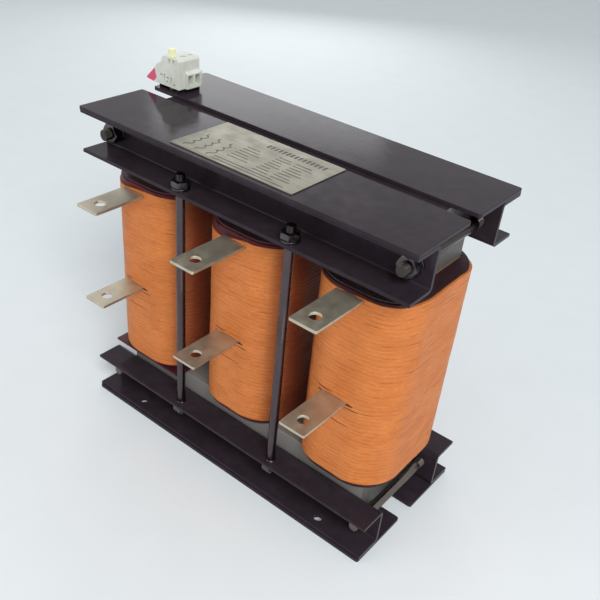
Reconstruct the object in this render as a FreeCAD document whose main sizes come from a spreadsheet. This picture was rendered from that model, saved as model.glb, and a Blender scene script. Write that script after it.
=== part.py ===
"""Three-phase filter reactor: wound coils on a gapped core, clamped between pressed channels.

The origin is the centre of the foot-hole pattern on the floor. X runs along the beams to the
right, the flat-bar terminals face -Y and Z is up. All lengths are in millimetres.
"""
import FreeCAD, Part
import math
import os
import Sketcher

# Driving dimensions
SIZES = {
    # Laminated core
    "core_stack": 110,
    "limb_width": 72,
    "window_height": 230,
    "yoke_height": 66,
    "packet_count": 4,
    "gap_spacer_thickness": 4,
    # Coils, built outwards from the limb
    "former_clearance": 1,
    "former_wall": 2,
    "former_corner": 3,
    "winding_build_side": 16.8,
    "winding_build_front": 13.3,
    "winding_corner": 42.5,
    "winding_lip_radius": 3,
    "wrap_thickness": 1.5,
    "wrap_bottom_margin": 5,
    "wrap_top_margin": 3,
    "coil_gap": 25.4,
    "board_thickness": 2,
    "board_inset": 3,
    "square_board_corner": 1.5,
    # Flat-bar terminals: offset from the coil's middle, place on its height, reach from its front
    "terminal_width": 30,
    "terminal_thickness": 3,
    "terminal_tail": 10,
    "terminal_corner": 1.5,
    "terminal_hole": 12,
    "terminal_hole_setback": 18,
    "terminal_slot_clearance": 0.5,
    "left_upper_offset": -7,
    "left_upper_drop": 9,
    "left_upper_reach": 62.7,
    "left_lower_offset": -13,
    "left_lower_rise": 100,
    "left_lower_reach": 57.2,
    "middle_upper_offset": -2.4,
    "middle_upper_drop": 9,
    "middle_upper_reach": 71.2,
    "middle_lower_offset": -7,
    "middle_lower_rise": 101,
    "middle_lower_reach": 64.2,
    "right_upper_offset": -3,
    "right_upper_drop": 5,
    "right_upper_reach": 67.8,
    "right_lower_offset": -4.5,
    "right_lower_rise": 102,
    "right_lower_reach": 65.6,
    # Clamp frame of pressed channels and flat bars
    "beam_overhang": 29,
    "channel_height": 46,
    "flange_width": 35,
    "channel_sheet": 3.5,
    "bend_radius": 2,
    "toe_radius": 0.8,
    "base_bar_width": 80,
    "front_top_bar_width": 86,
    "rear_top_bar_width": 82,
    "bar_thickness": 4,
    "bar_overhang": 2,
    "bar_corner": 3,
    "bar_edge_radius": 0.6,
    "foot_hole": 11,
    "foot_hole_inset": 65,
    "foot_hole_edge": 14,
    # Vertical tie rods between the channels
    "rod_diameter": 10,
    "rod_hole": 11,
    "rod_edge": 11,
    "rod_top_length": 19,
    "rod_bottom_length": 18,
    "rod_nut_flats": 17,
    "rod_nut_height": 7,
    "rod_washer_diameter": 20,
    "rod_washer_thickness": 2,
    # Horizontal clamp studs beyond the yoke ends
    "stud_diameter": 12,
    "stud_hole": 13,
    "stud_to_yoke": 3,
    "stud_level": 25,
    "stud_end_length": 7.5,
    "stud_nut_flats": 19,
    "stud_nut_height": 10,
    "stud_washer_diameter": 22,
    "stud_washer_thickness": 2.5,
    "thread_clearance": 0.1,
    # Nameplate bonded to the front top bar
    "nameplate_length": 150,
    "nameplate_width": 80,
    "nameplate_thickness": 1,
    "nameplate_offset": -2.5,
    "nameplate_corner": 1,
    # Mounting rail for the switch terminals, on the rear top bar
    "rail_recess": 3,
    "rail_width": 35,
    "rail_hat_width": 27,
    "rail_height": 7.5,
    "rail_sheet": 1,
    "rail_length": 35,
    "rail_inset": 20,
    "rail_screw_diameter": 4,
    "rail_screw_hole": 4.4,
    "rail_screw_depth": 6,
    "rail_screw_head": 7,
    "rail_screw_head_height": 2.4,
    "rail_screw_pitch": 20,
    # Switch terminal block: outline heights are above the bar
    "block_length": 40,
    "block_height": 37.5,
    "block_base": 5.5,
    "tower_start": 13,
    "tower_chamfer": 3.5,
    "end_chamfer": 2.5,
    "shoulder_height": 30.5,
    "shoulder_break_across": 5.5,
    "shoulder_break_height": 26,
    "shoulder_foot_height": 18,
    "side_step_height": 21,
    "side_step_depth": 3,
    "rail_grip_clearance": 0.3,
    "end_clamp_thickness": 9.5,
    "slice_thickness": 10.6,
    "end_plate_thickness": 5,
    "end_plate_height": 21,
    "entry_width": 7,
    "entry_height": 11,
    "entry_bottom": 8.5,
    "entry_depth": 10,
    "screw_well": 6,
    "screw_well_floor": 16,
    "screw_well_inset": 9,
    "block_screw_diameter": 5.6,
    "block_screw_height": 3,
    "screw_slot_width": 1,
    "screw_slot_depth": 1.2,
    "clamp_skirt": 2.5,
    "lever_reach": 12,
    "lever_tip_height": 7,
    "lever_top": 21,
    "lever_root": 5,
    "lever_root_height": 11,
    "lever_tip_radius": 1.2,
    "tag_length": 7,
    "tag_width": 6,
    "tag_height": 8,
    "tag_margin": 5,
    "tag_corner": 1.2,
}

# Places worked out from the driving dimensions, as formulas
HALF_STACK = "(Size.core_stack / 2)"
FLANGE_EDGE = f"({HALF_STACK} + Size.flange_width)"
BASE_BAR_MIDDLE = f"({FLANGE_EDGE} + Size.bar_overhang - Size.base_bar_width / 2)"
FRONT_TOP_MIDDLE = f"({FLANGE_EDGE} + Size.bar_overhang - Size.front_top_bar_width / 2)"
REAR_TOP_MIDDLE = f"({FLANGE_EDGE} + Size.bar_overhang - Size.rear_top_bar_width / 2)"
WINDOW_BOTTOM = "(Size.bar_thickness + Size.yoke_height)"
WINDOW_TOP = f"({WINDOW_BOTTOM} + Size.window_height)"
FRAME_TOP = f"({WINDOW_TOP} + Size.yoke_height)"
HEIGHT = f"({FRAME_TOP} + Size.bar_thickness)"

BORE_SIDE = "(Size.limb_width / 2 + Size.former_clearance)"
BORE_FRONT = f"({HALF_STACK} + Size.former_clearance)"
FORMER_SIDE = f"({BORE_SIDE} + Size.former_wall)"
FORMER_FRONT = f"({BORE_FRONT} + Size.former_wall)"
WINDING_SIDE = f"({FORMER_SIDE} + Size.winding_build_side)"
WINDING_FRONT = f"({FORMER_FRONT} + Size.winding_build_front)"
COIL_SIDE = f"({WINDING_SIDE} + Size.wrap_thickness)"
COIL_FRONT = f"({WINDING_FRONT} + Size.wrap_thickness)"
COIL_CORNER = "(Size.winding_corner + Size.wrap_thickness)"
COIL_BOTTOM = f"({WINDOW_BOTTOM} + Size.board_thickness)"
COIL_TOP = f"({WINDOW_TOP} - Size.board_thickness)"

PITCH = f"(2 * {COIL_SIDE} + Size.coil_gap)"
HALF_YOKE = f"({PITCH} + Size.limb_width / 2)"
HALF_BEAM = f"({HALF_YOKE} + Size.beam_overhang)"
ROD_ACROSS = f"({PITCH} / 2)"
ROD_ROW = f"({FLANGE_EDGE} - Size.rod_edge)"
FOOT_ACROSS = f"({HALF_BEAM} - Size.foot_hole_inset)"
FOOT_ROW = f"({FLANGE_EDGE} - Size.foot_hole_edge)"
STUD_ACROSS = f"({HALF_YOKE} + Size.stud_to_yoke + Size.stud_diameter / 2)"
STUD_LOW = "(Size.bar_thickness + Size.stud_level)"
STUD_HIGH = f"({FRAME_TOP} - Size.stud_level)"
LOWER_FLANGE_TOP = "(Size.bar_thickness + Size.channel_height)"
UPPER_FLANGE_BOTTOM = f"({FRAME_TOP} - Size.channel_height)"

FRONT_INNER_EDGE = f"({FRONT_TOP_MIDDLE} - Size.front_top_bar_width / 2)"
ROW_START = f"({REAR_TOP_MIDDLE} - Size.rear_top_bar_width / 2)"
RAIL_START = f"({ROW_START} + Size.rail_recess)"
RAIL_ACROSS = f"(Size.rail_inset - {HALF_BEAM})"
TOWER_ACROSS = "(Size.tower_start - Size.block_length / 2)"
RAIL_GRIP = "(Size.rail_width / 2 + Size.rail_grip_clearance)"
SHOULDER_RISE = "((Size.shoulder_break_height - Size.shoulder_foot_height) / Size.shoulder_break_across)"
LEVER_TOP_ACROSS = f"((Size.lever_top - Size.shoulder_foot_height) / {SHOULDER_RISE})"

COILS = {"left": f"-{PITCH}", "middle": "0", "right": PITCH}
SIDES = {"left": "-", "right": ""}
ROWS = {"front": "-", "rear": ""}

UPRIGHT = FreeCAD.Rotation()
ALONG_Y = FreeCAD.Rotation(FreeCAD.Vector(1, 0, 0), -90)
HALF_TURN_X = FreeCAD.Rotation(FreeCAD.Vector(1, 0, 0), 180)
HALF_TURN_Y = FreeCAD.Rotation(FreeCAD.Vector(0, 1, 0), 180)
HALF_TURN_Z = FreeCAD.Rotation(FreeCAD.Vector(0, 0, 1), 180)

NEAR = 0.001
ORIGIN = -1
ORIGIN_POINT = 1
LINE_START, LINE_END = range(1, 3)
CIRCLE_CENTRE = 3

doc = FreeCAD.newDocument("FilterReactor")
nodes = []


def fill_sheet():
    """Write every driving dimension into the sheet under its own alias."""
    sheet = doc.addObject("Spreadsheet::Sheet", "Size")
    for row, (name, value) in enumerate(SIZES.items(), 1):
        sheet.set(f"A{row}", name)
        sheet.set(f"B{row}", str(value))
        sheet.setAlias(f"B{row}", name)
    doc.recompute()
    return sheet


def number(formula):
    """The present value of a formula of sheet names, as a plain number."""
    value = sheet.evalExpression(formula)
    return float(getattr(value, "Value", value))


def keep(thing, label):
    """Give a finished piece its label and list it for export."""
    thing.Label = label
    nodes.append(thing)
    return thing


def put(thing, across="0", along="0", up="0", turn=UPRIGHT):
    """Place a piece, with its coordinates bound to the sheet."""
    thing.Placement = FreeCAD.Placement(FreeCAD.Vector(), turn)
    for axis, formula in zip("xyz", (across, along, up)):
        thing.setExpression(f".Placement.Base.{axis}", formula)


# Sketches and features of a body


def new_body(label):
    """An empty body whose label names its piece."""
    return keep(doc.addObject("PartDesign::Body", label), label)


def sketch_on(body, role, name, offset=None):
    """A sketch on one of the body's own planes, moved along its normal by a formula."""
    sketch = body.newObject("Sketcher::SketchObject", name)
    plane = next(f for f in body.Origin.OriginFeatures if f.Role == role)
    sketch.AttachmentSupport = [(plane, "")]
    sketch.MapMode = "FlatFace"
    if offset:
        sketch.setExpression(".AttachmentOffset.Base.z", offset)
    return sketch


def bind(sketch, kind, *where, formula, name):
    """Add a dimension to a sketch and tie it to a formula."""
    sketch.addConstraint(Sketcher.Constraint(kind, *where, number(formula)))
    sketch.renameConstraint(sketch.ConstraintCount - 1, name)
    sketch.setExpression(f"Constraints.{name}", formula)


def pin_point(sketch, line, point, across, up, name):
    """Hold one point of a sketch at two distances from the origin."""
    origin = (ORIGIN, ORIGIN_POINT)
    bind(sketch, "DistanceX", *origin, line, point, formula=across, name=f"{name}_across")
    bind(sketch, "DistanceY", *origin, line, point, formula=up, name=f"{name}_up")


def outline(sketch, corners, name="corner"):
    """Draw a closed outline of straight lines through corners given as pairs of formulas."""
    points = [FreeCAD.Vector(number(across), number(up), 0) for across, up in corners]
    lines = []
    for start, end in zip(points, points[1:] + points[:1]):
        lines.append(sketch.addGeometry(Part.LineSegment(start, end), False))
    for line, following in zip(lines, lines[1:] + lines[:1]):
        sketch.addConstraint(Sketcher.Constraint("Coincident", line, LINE_END, following, LINE_START))
    for place, (line, (across, up)) in enumerate(zip(lines, corners)):
        pin_point(sketch, line, LINE_START, across, up, f"{name}_{place}")


def rectangle(sketch, left, right, bottom, top, name="corner"):
    """Draw a rectangle between four formulas."""
    outline(sketch, [(left, bottom), (right, bottom), (right, top), (left, top)], name)


def rounded_rectangle(sketch, side, front, radius):
    """Draw a rectangle about the origin whose corners are arcs, from its half sizes."""
    flat_side, flat_front = f"({side} - {radius})", f"({front} - {radius})"
    straights = [
        ((f"-{flat_side}", f"-{front}"), (flat_side, f"-{front}")),
        ((side, f"-{flat_front}"), (side, flat_front)),
        ((flat_side, front), (f"-{flat_side}", front)),
        ((f"-{side}", flat_front), (f"-{side}", f"-{flat_front}")),
    ]
    centres = [(flat_side, f"-{flat_front}"), (flat_side, flat_front),
               (f"-{flat_side}", flat_front), (f"-{flat_side}", f"-{flat_front}")]
    lines = []
    for place, ends in enumerate(straights):
        points = [FreeCAD.Vector(number(across), number(up), 0) for across, up in ends]
        line = sketch.addGeometry(Part.LineSegment(*points), False)
        pin_point(sketch, line, LINE_START, *ends[0], f"start_{place}")
        pin_point(sketch, line, LINE_END, *ends[1], f"end_{place}")
        lines.append(line)
    for place, (across, up) in enumerate(centres):
        round_of = Part.Circle(FreeCAD.Vector(number(across), number(up), 0),
                               FreeCAD.Vector(0, 0, 1), number(radius))
        from_angle = (place - 1) * math.pi / 2
        arc = sketch.addGeometry(Part.ArcOfCircle(round_of, from_angle, from_angle + math.pi / 2), False)
        following = lines[(place + 1) % len(lines)]
        sketch.addConstraint(Sketcher.Constraint("Coincident", lines[place], LINE_END, arc, LINE_START))
        sketch.addConstraint(Sketcher.Constraint("Coincident", arc, LINE_END, following, LINE_START))
        bind(sketch, "Radius", arc, formula=radius, name=f"corner_{place}")


def circle(sketch, across, up, diameter, name):
    """Draw a circle at a place given by two formulas."""
    middle = FreeCAD.Vector(number(across), number(up), 0)
    normal = FreeCAD.Vector(0, 0, 1)
    ring = sketch.addGeometry(Part.Circle(middle, normal, number(diameter) / 2), False)
    pin_point(sketch, ring, CIRCLE_CENTRE, across, up, name)
    bind(sketch, "Diameter", ring, formula=diameter, name=f"{name}_size")


def pad(body, sketch, length, both_ways=False, backwards=False):
    """Grow a sketch into a solid."""
    feature = body.newObject("PartDesign::Pad", f"{sketch.Name}_pad")
    feature.Profile = sketch
    feature.Type = "Length"
    feature.SideType = "Symmetric" if both_ways else "One side"
    feature.Reversed = backwards
    feature.setExpression("Length", length)
    doc.recompute()
    return feature


def pocket(body, sketch, depth=None, both_ways=False, backwards=False):
    """Cut a sketch out of the body, all the way through where no depth is given."""
    before = body.Tip.Shape.Volume
    feature = body.newObject("PartDesign::Pocket", f"{sketch.Name}_pocket")
    feature.Profile = sketch
    feature.SideType = "Symmetric" if both_ways else "One side"
    feature.Reversed = backwards
    if depth:
        feature.Type = "Length"
        feature.setExpression("Length", depth)
    else:
        feature.Type = "ThroughAll"
    doc.recompute()
    if feature.Shape.Volume > before - NEAR:
        raise RuntimeError(f"{feature.Name} cuts nothing")
    return feature


def fillet(body, name, chosen, radius):
    """Round the edges of the body's last feature that a test picks out."""
    base = body.Tip
    edges = [f"Edge{place}" for place, edge in enumerate(base.Shape.Edges, 1) if chosen(edge)]
    feature = body.newObject("PartDesign::Fillet", name)
    feature.Base = (base, edges)
    feature.setExpression("Radius", radius)
    doc.recompute()
    return feature


def runs_along(edge, direction):
    """Whether an edge is straight and follows a direction."""
    if len(edge.Vertexes) != 2:
        return False
    start, end = (vertex.Point for vertex in edge.Vertexes)
    run = end - start
    return run.Length > NEAR and abs(abs(run.dot(direction)) - run.Length) < NEAR


def lies_at(edge, along, up):
    """Whether an edge that runs in X lies at one place of the section."""
    if not runs_along(edge, FreeCAD.Vector(1, 0, 0)):
        return False
    place = edge.Vertexes[0].Point
    return abs(place.y - along) < NEAR and abs(place.z - up) < NEAR


# Plain solids and groups of them


def box(name, length, width, height, across, along, up):
    """A block centred in X and Y at a place, standing on its height there."""
    block = doc.addObject("Part::Box", name)
    for side, formula in (("Length", length), ("Width", width), ("Height", height)):
        block.setExpression(side, formula)
    put(block, f"{across} - {length} / 2", f"{along} - {width} / 2", up)
    return block


def cylinder(name, diameter, height, across, along, up, turn=UPRIGHT):
    """A round bar that starts at a place and runs up, or along Y when turned."""
    bar = doc.addObject("Part::Cylinder", name)
    bar.setExpression("Radius", f"{diameter} / 2")
    bar.setExpression("Height", height)
    put(bar, across, along, up, turn)
    return bar


def washer(name, outer, inner, height, where, turn=UPRIGHT):
    """A flat ring that starts at a place."""
    ring = doc.addObject("Part::Cut", name)
    ring.Base = cylinder(f"{name}_disc", outer, height, *where, turn)
    ring.Tool = cylinder(f"{name}_bore", inner, height, *where, turn)
    return ring


def nut(name, flats, inner, height, where, turn=UPRIGHT):
    """A hexagon nut that starts at a place."""
    prism = doc.addObject("Part::Prism", f"{name}_hexagon")
    prism.Polygon = 6
    prism.setExpression("Circumradius", f"{flats} / sqrt(3)")
    prism.setExpression("Height", height)
    put(prism, *where, turn)
    piece = doc.addObject("Part::Cut", name)
    piece.Base = prism
    piece.Tool = cylinder(f"{name}_bore", inner, height, *where, turn)
    return piece


def group(label, pieces):
    """Separate solids that share one node."""
    whole = doc.addObject("Part::Compound", label)
    whole.Links = pieces
    return keep(whole, label)


# Clamp frame


def channel(label, row, level, turn, with_feet):
    """A pressed channel with its web against the core, drilled for studs, rods and feet."""
    body = new_body(label)
    toe, metal = "-Size.flange_width", "Size.channel_sheet"
    top = "Size.channel_height"
    section = sketch_on(body, "YZ_Plane", f"{label}_section")
    outline(section, [
        ("0", "0"),
        (toe, "0"),
        (toe, metal),
        (f"-{metal}", metal),
        (f"-{metal}", f"{top} - {metal}"),
        (toe, f"{top} - {metal}"),
        (toe, top),
        ("0", top),
    ])
    pad(body, section, f"2 * {HALF_BEAM}", both_ways=True)
    height, reach, thickness = number(top), number(toe), number(metal)
    fillet(body, f"{label}_inner_bends",
           lambda edge: (lies_at(edge, -thickness, thickness)
                         or lies_at(edge, -thickness, height - thickness)),
           "Size.bend_radius")
    fillet(body, f"{label}_outer_bends",
           lambda edge: lies_at(edge, 0, 0) or lies_at(edge, 0, height),
           f"Size.bend_radius + {metal}")
    fillet(body, f"{label}_toes",
           lambda edge: lies_at(edge, reach, thickness) or lies_at(edge, reach, height - thickness),
           "Size.toe_radius")
    studs = sketch_on(body, "XZ_Plane", f"{label}_stud_holes")
    rods = sketch_on(body, "XY_Plane", f"{label}_rod_holes", top)
    for side, sign in SIDES.items():
        circle(studs, f"{sign}{STUD_ACROSS}", "Size.stud_level", "Size.stud_hole", side)
        circle(rods, f"{sign}{ROD_ACROSS}", f"{HALF_STACK} - {ROD_ROW}", "Size.rod_hole", side)
    pocket(body, studs, both_ways=True)
    pocket(body, rods, f"{top} / 2")
    if with_feet:
        feet = sketch_on(body, "XY_Plane", f"{label}_foot_holes")
        for side, sign in SIDES.items():
            circle(feet, f"{sign}{FOOT_ACROSS}", f"{HALF_STACK} - {FOOT_ROW}", "Size.foot_hole", side)
        pocket(body, feet, f"{top} / 2", backwards=True)
    put(body, "0", f"{row}{HALF_STACK}", level, turn)
    return body


def channels():
    """Four channels: the upper pair is the lower pair turned over."""
    base = "Size.bar_thickness"
    channel("front_lower_channel", "-", base, UPRIGHT, True)
    channel("rear_lower_channel", "", base, HALF_TURN_Z, True)
    channel("front_upper_channel", "-", FRAME_TOP, HALF_TURN_Y, False)
    channel("rear_upper_channel", "", FRAME_TOP, HALF_TURN_X, False)


def bar(label, middle, level, width):
    """A flat bar along the frame, with rounded corners and its long edges eased by rolling."""
    body = new_body(label)
    plan = sketch_on(body, "XY_Plane", f"{label}_plan")
    rectangle(plan, f"-{HALF_BEAM}", HALF_BEAM, f"-{width} / 2", f"{width} / 2")
    pad(body, plan, "Size.bar_thickness")
    fillet(body, f"{label}_corners", lambda edge: runs_along(edge, FreeCAD.Vector(0, 0, 1)),
           "Size.bar_corner")
    fillet(body, f"{label}_edges", lambda edge: runs_along(edge, FreeCAD.Vector(1, 0, 0)),
           "Size.bar_edge_radius")
    put(body, "0", middle, level)
    return body


def base_bars():
    """The two bars under the frame, drilled for the feet."""
    for row, sign in ROWS.items():
        label = f"{row}_base_bar"
        body = bar(label, f"{sign}{BASE_BAR_MIDDLE}", "0", "Size.base_bar_width")
        feet = sketch_on(body, "XY_Plane", f"{label}_foot_holes")
        for side, direction in SIDES.items():
            circle(feet, f"{direction}{FOOT_ACROSS}", f"{sign}({FOOT_ROW} - {BASE_BAR_MIDDLE})",
                   "Size.foot_hole", side)
        pocket(body, feet, both_ways=True)


def top_bars():
    """The two bars on the frame; the rear one is tapped for the rail's screws."""
    bar("front_top_bar", f"-{FRONT_TOP_MIDDLE}", FRAME_TOP, "Size.front_top_bar_width")
    label = "rear_top_bar"
    body = bar(label, REAR_TOP_MIDDLE, FRAME_TOP, "Size.rear_top_bar_width")
    taps = sketch_on(body, "XY_Plane", f"{label}_taps", "Size.bar_thickness")
    for name, along in rail_screw_rows().items():
        circle(taps, RAIL_ACROSS, f"{along} - {REAR_TOP_MIDDLE}", "Size.rail_screw_hole", name)
    pocket(body, taps, "Size.rail_screw_depth")


# Core


def core():
    """Two yokes and three limbs of packets with an air-gap spacer at each end of a packet."""
    for label, level in (("lower_yoke", "Size.bar_thickness"), ("upper_yoke", WINDOW_TOP)):
        keep(box(label, f"(2 * {HALF_YOKE})", "Size.core_stack", "Size.yoke_height", "0", "0", level),
             label)
    packets = round(number("Size.packet_count"))
    gap = "Size.gap_spacer_thickness"
    packet = f"((Size.window_height - (Size.packet_count + 1) * {gap}) / Size.packet_count)"
    for side, across in COILS.items():
        place = (across, "0")
        spacers = []
        steel = []
        for step in range(packets + 1):
            bottom = f"{WINDOW_BOTTOM} + {step} * ({packet} + {gap})"
            spacers.append(box(f"{side}_spacer_{step}", "Size.limb_width", "Size.core_stack", gap,
                               *place, bottom))
            if step < packets:
                steel.append(box(f"{side}_packet_{step}", "Size.limb_width", "Size.core_stack", packet,
                                 *place, f"{bottom} + {gap}"))
        group(f"{side}_limb_packets", steel)
        group(f"{side}_gap_spacers", spacers)


# Coils


def tube(label, outer, inner, bottom, height, across):
    """An upright tube between two outlines, each (half side, half front, corner radius or None)."""
    body = new_body(label)
    shell = sketch_on(body, "XY_Plane", f"{label}_outside", bottom)
    rounded_rectangle(shell, *outer)
    pad(body, shell, height)
    bore = sketch_on(body, "XY_Plane", f"{label}_inside", bottom)
    side, front, radius = inner
    if radius:
        rounded_rectangle(bore, side, front, radius)
    else:
        rectangle(bore, f"-{side}", side, f"-{front}", front)
    pocket(body, bore, height, backwards=True)
    put(body, across)
    return body


def terminal_places(side):
    """Offset, height and reach of a coil's two terminals, as formulas."""
    return {
        "upper": (f"Size.{side}_upper_offset", f"({COIL_TOP} - Size.{side}_upper_drop)",
                  f"Size.{side}_upper_reach"),
        "lower": (f"Size.{side}_lower_offset", f"({COIL_BOTTOM} + Size.{side}_lower_rise)",
                  f"Size.{side}_lower_reach"),
    }


def terminal_cuts(body, side, start, clearance):
    """Cut the room for a coil's two terminals, forwards from a distance behind its front."""
    sketch = sketch_on(body, "XZ_Plane", f"{body.Name}_terminal_cuts", start)
    half_width = f"(Size.terminal_width / 2 + {clearance})"
    half_height = f"(Size.terminal_thickness / 2 + {clearance})"
    for level, (offset, up, _) in terminal_places(side).items():
        rectangle(sketch, f"{offset} - {half_width}", f"{offset} + {half_width}",
                  f"{up} - {half_height}", f"{up} + {half_height}", level)
    pocket(body, sketch, backwards=True)


def rounded_lips(body, label, bottom, top):
    """Round the outer edges at both ends of a winding."""
    ends = (number(bottom), number(top))
    bore = number(FORMER_SIDE), number(FORMER_FRONT)

    def is_lip(edge):
        heights = [vertex.Point.z for vertex in edge.Vertexes]
        level = any(all(abs(height - end) < NEAR for height in heights) for end in ends)
        inside = all(abs(vertex.Point.x) < bore[0] + NEAR and abs(vertex.Point.y) < bore[1] + NEAR
                     for vertex in edge.Vertexes)
        return level and not inside

    fillet(body, f"{label}_lips", is_lip, "Size.winding_lip_radius")


def coil(side, across):
    """One coil on its limb: boards, former, winding, outer wrap and two terminals."""
    height = f"({COIL_TOP} - {COIL_BOTTOM})"
    bore = (BORE_SIDE, BORE_FRONT, None)
    former = (FORMER_SIDE, FORMER_FRONT, "Size.former_corner")
    winding = (WINDING_SIDE, WINDING_FRONT, "Size.winding_corner")
    wrap = (COIL_SIDE, COIL_FRONT, COIL_CORNER)
    board_size = (f"({COIL_SIDE} - Size.board_inset)", f"({COIL_FRONT} - Size.board_inset)")
    round_board = (*board_size, f"({COIL_CORNER} - Size.board_inset)")
    square_board = (*board_size, "Size.square_board_corner")

    tube(f"{side}_coil_former", former, bore, COIL_BOTTOM, height, across)
    label = f"{side}_winding"
    body = tube(label, winding, former, COIL_BOTTOM, height, across)
    rounded_lips(body, label, COIL_BOTTOM, COIL_TOP)
    terminal_cuts(body, side, f"({WINDING_FRONT} - Size.terminal_tail)", "0")
    body = tube(f"{side}_coil_wrap", wrap, winding, f"({COIL_BOTTOM} + Size.wrap_bottom_margin)",
                f"({height} - Size.wrap_bottom_margin - Size.wrap_top_margin)", across)
    terminal_cuts(body, side, f"({WINDING_FRONT} - Size.terminal_tail)", "Size.terminal_slot_clearance")
    lower_board = square_board if side == "left" else round_board
    tube(f"{side}_lower_board", lower_board, bore, WINDOW_BOTTOM, "Size.board_thickness", across)
    tube(f"{side}_upper_board", round_board, bore, COIL_TOP, "Size.board_thickness", across)
    for level, (offset, up, reach) in terminal_places(side).items():
        terminal(f"{side}_{level}_terminal", f"{across} + {offset}", up, reach)


def terminal(label, across, up, reach):
    """A flat bar from inside the winding to its drilled free end."""
    body = new_body(label)
    plan = sketch_on(body, "XY_Plane", f"{label}_plan")
    half = "Size.terminal_width / 2"
    length = f"({reach} + Size.wrap_thickness + Size.terminal_tail)"
    rectangle(plan, f"-{half}", half, "0", length)
    circle(plan, "0", "Size.terminal_hole_setback", "Size.terminal_hole", "hole")
    pad(body, plan, "Size.terminal_thickness", both_ways=True)
    fillet(body, f"{label}_corners",
           lambda edge: runs_along(edge, FreeCAD.Vector(0, 0, 1)) and abs(edge.Vertexes[0].Y) < NEAR,
           "Size.terminal_corner")
    put(body, across, f"-({COIL_FRONT} + {reach})", up)


# Fasteners


def rod_fasteners():
    """Four tie rods, with a washer and a nut on the inner face of each drilled flange."""
    inner = "(Size.rod_diameter + 2 * Size.thread_clearance)"
    flats, height = "Size.rod_nut_flats", "Size.rod_nut_height"
    disc, thickness = "Size.rod_washer_diameter", "Size.rod_washer_thickness"
    nut_face = f"(Size.channel_sheet + {thickness})"
    bottom = f"({LOWER_FLANGE_TOP} - Size.rod_bottom_length)"
    top = f"({UPPER_FLANGE_BOTTOM} + Size.rod_top_length)"
    nuts = []
    washers = []
    for row, row_sign in ROWS.items():
        for side, side_sign in SIDES.items():
            place = f"{side_sign}{ROD_ACROSS}", f"{row_sign}{ROD_ROW}"
            name = f"{row}_{side}"
            keep(cylinder(f"{name}_tie_rod", "Size.rod_diameter", f"{top} - {bottom}", *place, bottom),
                 f"{name}_tie_rod")
            washers.append(washer(f"{name}_upper_washer", disc, inner, thickness,
                                  (*place, f"{UPPER_FLANGE_BOTTOM} + Size.channel_sheet")))
            washers.append(washer(f"{name}_lower_washer", disc, inner, thickness,
                                  (*place, f"{LOWER_FLANGE_TOP} - {nut_face}")))
            nuts.append(nut(f"{name}_upper_nut", flats, inner, height,
                            (*place, f"{UPPER_FLANGE_BOTTOM} + {nut_face}")))
            nuts.append(nut(f"{name}_lower_nut", flats, inner, height,
                            (*place, f"{LOWER_FLANGE_TOP} - {nut_face} - {height}")))
    group("tie_rod_nuts", nuts)
    group("tie_rod_washers", washers)


def stud_fasteners():
    """Four studs across the frame, with a washer and a nut on the outer side of each web."""
    inner = "(Size.stud_diameter + 2 * Size.thread_clearance)"
    flats, height = "Size.stud_nut_flats", "Size.stud_nut_height"
    disc, thickness = "Size.stud_washer_diameter", "Size.stud_washer_thickness"
    web_face = f"({HALF_STACK} + Size.channel_sheet)"
    end = f"({web_face} + {thickness} + {height} + Size.stud_end_length)"
    nuts = []
    washers = []
    for level, up in (("lower", STUD_LOW), ("upper", STUD_HIGH)):
        for side, sign in SIDES.items():
            across = f"{sign}{STUD_ACROSS}"
            name = f"{side}_{level}"
            keep(cylinder(f"{name}_clamp_stud", "Size.stud_diameter", f"2 * {end}",
                          across, f"-{end}", up, ALONG_Y), f"{name}_clamp_stud")
            starts = {
                "front": (f"-({web_face} + {thickness})", f"-({web_face} + {thickness} + {height})"),
                "rear": (web_face, f"{web_face} + {thickness}"),
            }
            for row, (washer_start, nut_start) in starts.items():
                washers.append(washer(f"{name}_{row}_washer", disc, inner, thickness,
                                      (across, washer_start, up), ALONG_Y))
                nuts.append(nut(f"{name}_{row}_nut", flats, inner, height,
                                (across, nut_start, up), ALONG_Y))
    group("clamp_stud_nuts", nuts)
    group("clamp_stud_washers", washers)


# Nameplate and switch terminals


def nameplate():
    """A thin plate bonded to the front top bar, flush with the bar's inner edge."""
    label = "nameplate"
    body = new_body(label)
    plan = sketch_on(body, "XY_Plane", f"{label}_plan")
    half_length, half_width = "Size.nameplate_length / 2", "Size.nameplate_width / 2"
    rectangle(plan, f"-{half_length}", half_length, f"-{half_width}", half_width)
    pad(body, plan, "Size.nameplate_thickness")
    fillet(body, f"{label}_corners", lambda edge: runs_along(edge, FreeCAD.Vector(0, 0, 1)),
           "Size.nameplate_corner")
    put(body, "Size.nameplate_offset", f"-({FRONT_INNER_EDGE} + {half_width})", HEIGHT)


def rail_screw_rows():
    """Distance along Y of the rail's two screws."""
    middle = f"{RAIL_START} + Size.rail_length / 2"
    return {
        "near": f"{middle} - Size.rail_screw_pitch / 2",
        "far": f"{middle} + Size.rail_screw_pitch / 2",
    }


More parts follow.
